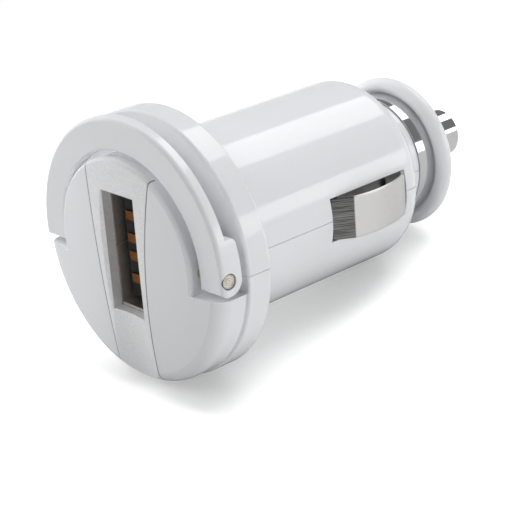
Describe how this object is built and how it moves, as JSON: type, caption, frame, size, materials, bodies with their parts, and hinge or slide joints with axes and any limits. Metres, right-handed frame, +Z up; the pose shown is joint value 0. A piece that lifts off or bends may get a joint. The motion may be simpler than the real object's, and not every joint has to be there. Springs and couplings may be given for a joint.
{
  "type": "car usb charger plug",
  "caption": "Lighter-socket plug with a USB port in its domed face, a swing-out pull handle, sprung side contacts and a sprung tip.",
  "frame": {"origin": "on the plug's axis, in the plane of the flange's rear face, where the flange stops against the socket", "axes": "+Y along the plug's axis towards the sprung tip, so the USB face looks to -Y; +Z up, the side on which the pull handle's bow lies; +X to the right seen from the front, along the hinge pins"},
  "size_m": [0.029, 0.0498, 0.0289],
  "materials": {
    "housing_white": "glossy moulded white",
    "cap_white": "glossy moulded white",
    "handle_white": "glossy moulded white",
    "ring_white": "satin moulded white",
    "plate_silver": "fine satin silver lacquer",
    "pin_metal": "nickel-washed brass",
    "port_metal": "plated sheet",
    "port_black": "moulded black",
    "copper": "copper alloy strip",
    "spring_steel": "satin nickel-plated strip",
    "chrome": "bright chrome",
    "coil_steel": "drawn wire",
    "brass": "turned brass",
    "lead_red": "wire insulation",
    "board_green": "solder mask",
    "can_sleeve": "shrink sleeve over a can",
    "ferrite": "pressed ferrite",
    "winding_copper": "enamelled wire",
    "chip_black": "moulded package"
  },
  "bodies": {
    "housing": {"upper_shell": "housing_white", "lower_shell": "housing_white", "front_cap": "cap_white", "face_plate": "plate_silver", "left_hinge_pin": "pin_metal", "right_hinge_pin": "pin_metal", "usb_shell": "port_metal", "usb_tongue": "port_black", "usb_contact_1": "copper", "usb_contact_2": "copper", "usb_contact_3": "copper", "usb_contact_4": "copper", "left_spring_leg": "spring_steel", "right_spring_leg": "spring_steel", "end_band": "chrome", "end_ring": "ring_white", "tip_spring": "coil_steel", "tip_terminal": "brass", "tip_lead": "lead_red", "circuit_board": "board_green", "input_capacitor": "can_sleeve", "output_capacitor": "can_sleeve", "choke_core": "ferrite", "choke_winding": "winding_copper", "converter_chip": "chip_black", "diode": "chip_black", "chip_resistors": "chip_black"},
    "handle": {"pull_handle": "handle_white"},
    "left_contact": {"left_ground_spring": "spring_steel"},
    "right_contact": {"right_ground_spring": "spring_steel"},
    "tip": {"tip_contact": "chrome"}
  },
  "joints": [
    {"name": "handle_swing", "type": "hinge", "parent": "housing", "child": "handle", "pos_m": [0, -0.00565, 0.0004], "axis": [1, 0, 0], "range_deg": [0, 95]},
    {"name": "left_contact_press", "type": "hinge", "parent": "housing", "child": "left_contact", "pos_m": [-0.0079, 0.0237, 0], "axis": [0, 0, 1], "range_deg": [0, 20], "stiffness_Nm_per_rad": 0.05, "springref_deg": -11.46},
    {"name": "right_contact_press", "type": "hinge", "parent": "housing", "child": "right_contact", "pos_m": [0.0079, 0.0237, 0], "axis": [0, 0, -1], "range_deg": [0, 20], "stiffness_Nm_per_rad": 0.05, "springref_deg": -11.46},
    {"name": "tip_press", "type": "slide", "parent": "housing", "child": "tip", "axis": [0, -1, 0], "range_m": [0, 0.003], "stiffness_N_per_m": 800, "springref_m": -0.003, "deforming": ["tip_spring"]}
  ]
}
